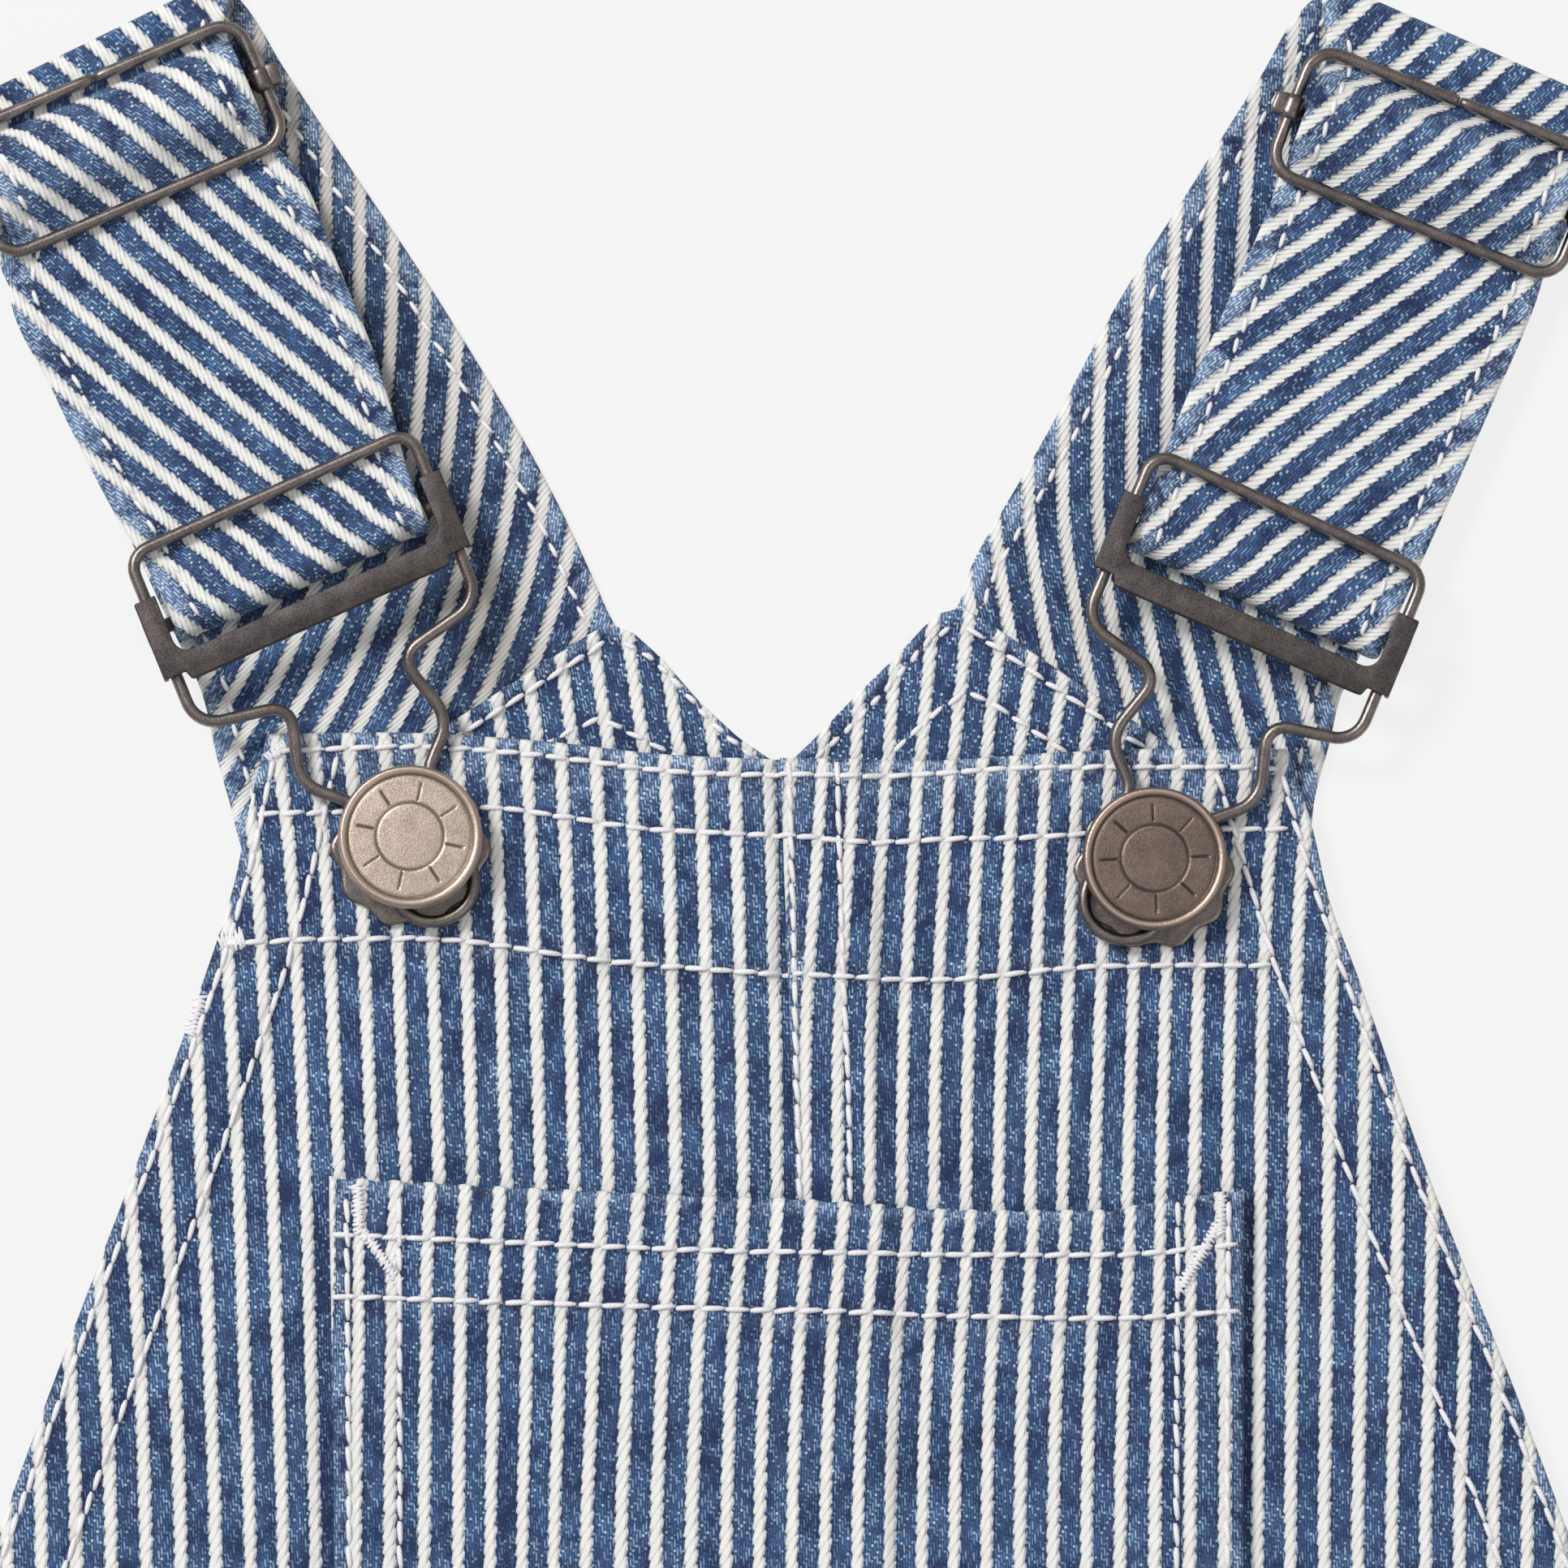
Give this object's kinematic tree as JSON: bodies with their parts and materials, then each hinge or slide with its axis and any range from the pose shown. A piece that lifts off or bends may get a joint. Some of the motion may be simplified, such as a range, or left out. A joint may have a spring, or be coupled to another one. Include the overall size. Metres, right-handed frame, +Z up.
{
  "type": "kids bib overalls",
  "caption": "Child's bib overalls in striped denim, laid flat with the front up, straps folded over and buckled to the bib.",
  "frame": {"origin": "on the surface it lies on, under the middle of its outline", "axes": "+X from the left of the laid garment to its right, +Y from the leg hems to the shoulder folds, +Z up from the surface through the back and the front"},
  "size_m": [0.3176, 0.7971, 0.0082],
  "materials": {
    "denim": "hickory stripe denim, indigo twill with raised off-white rope stripes, washed and worn along its edges",
    "thread": "off-white spun sewing thread",
    "metal": "antique nickel, brushed and slightly mottled"
  },
  "bodies": {
    "root": {"front_left": "denim", "front_right": "denim", "back_left": "denim", "back_right": "denim", "bib_pocket": "denim", "strap_left": "denim", "strap_right": "denim", "slider_frame_left": "metal", "slider_bar_left": "metal", "buckle_wire_left": "metal", "buckle_plate_left": "metal", "button_cap_left": "metal", "button_collar_left": "metal", "slider_frame_right": "metal", "slider_bar_right": "metal", "buckle_wire_right": "metal", "buckle_plate_right": "metal", "button_cap_right": "metal", "button_collar_right": "metal"}
  },
  "joints": []
}
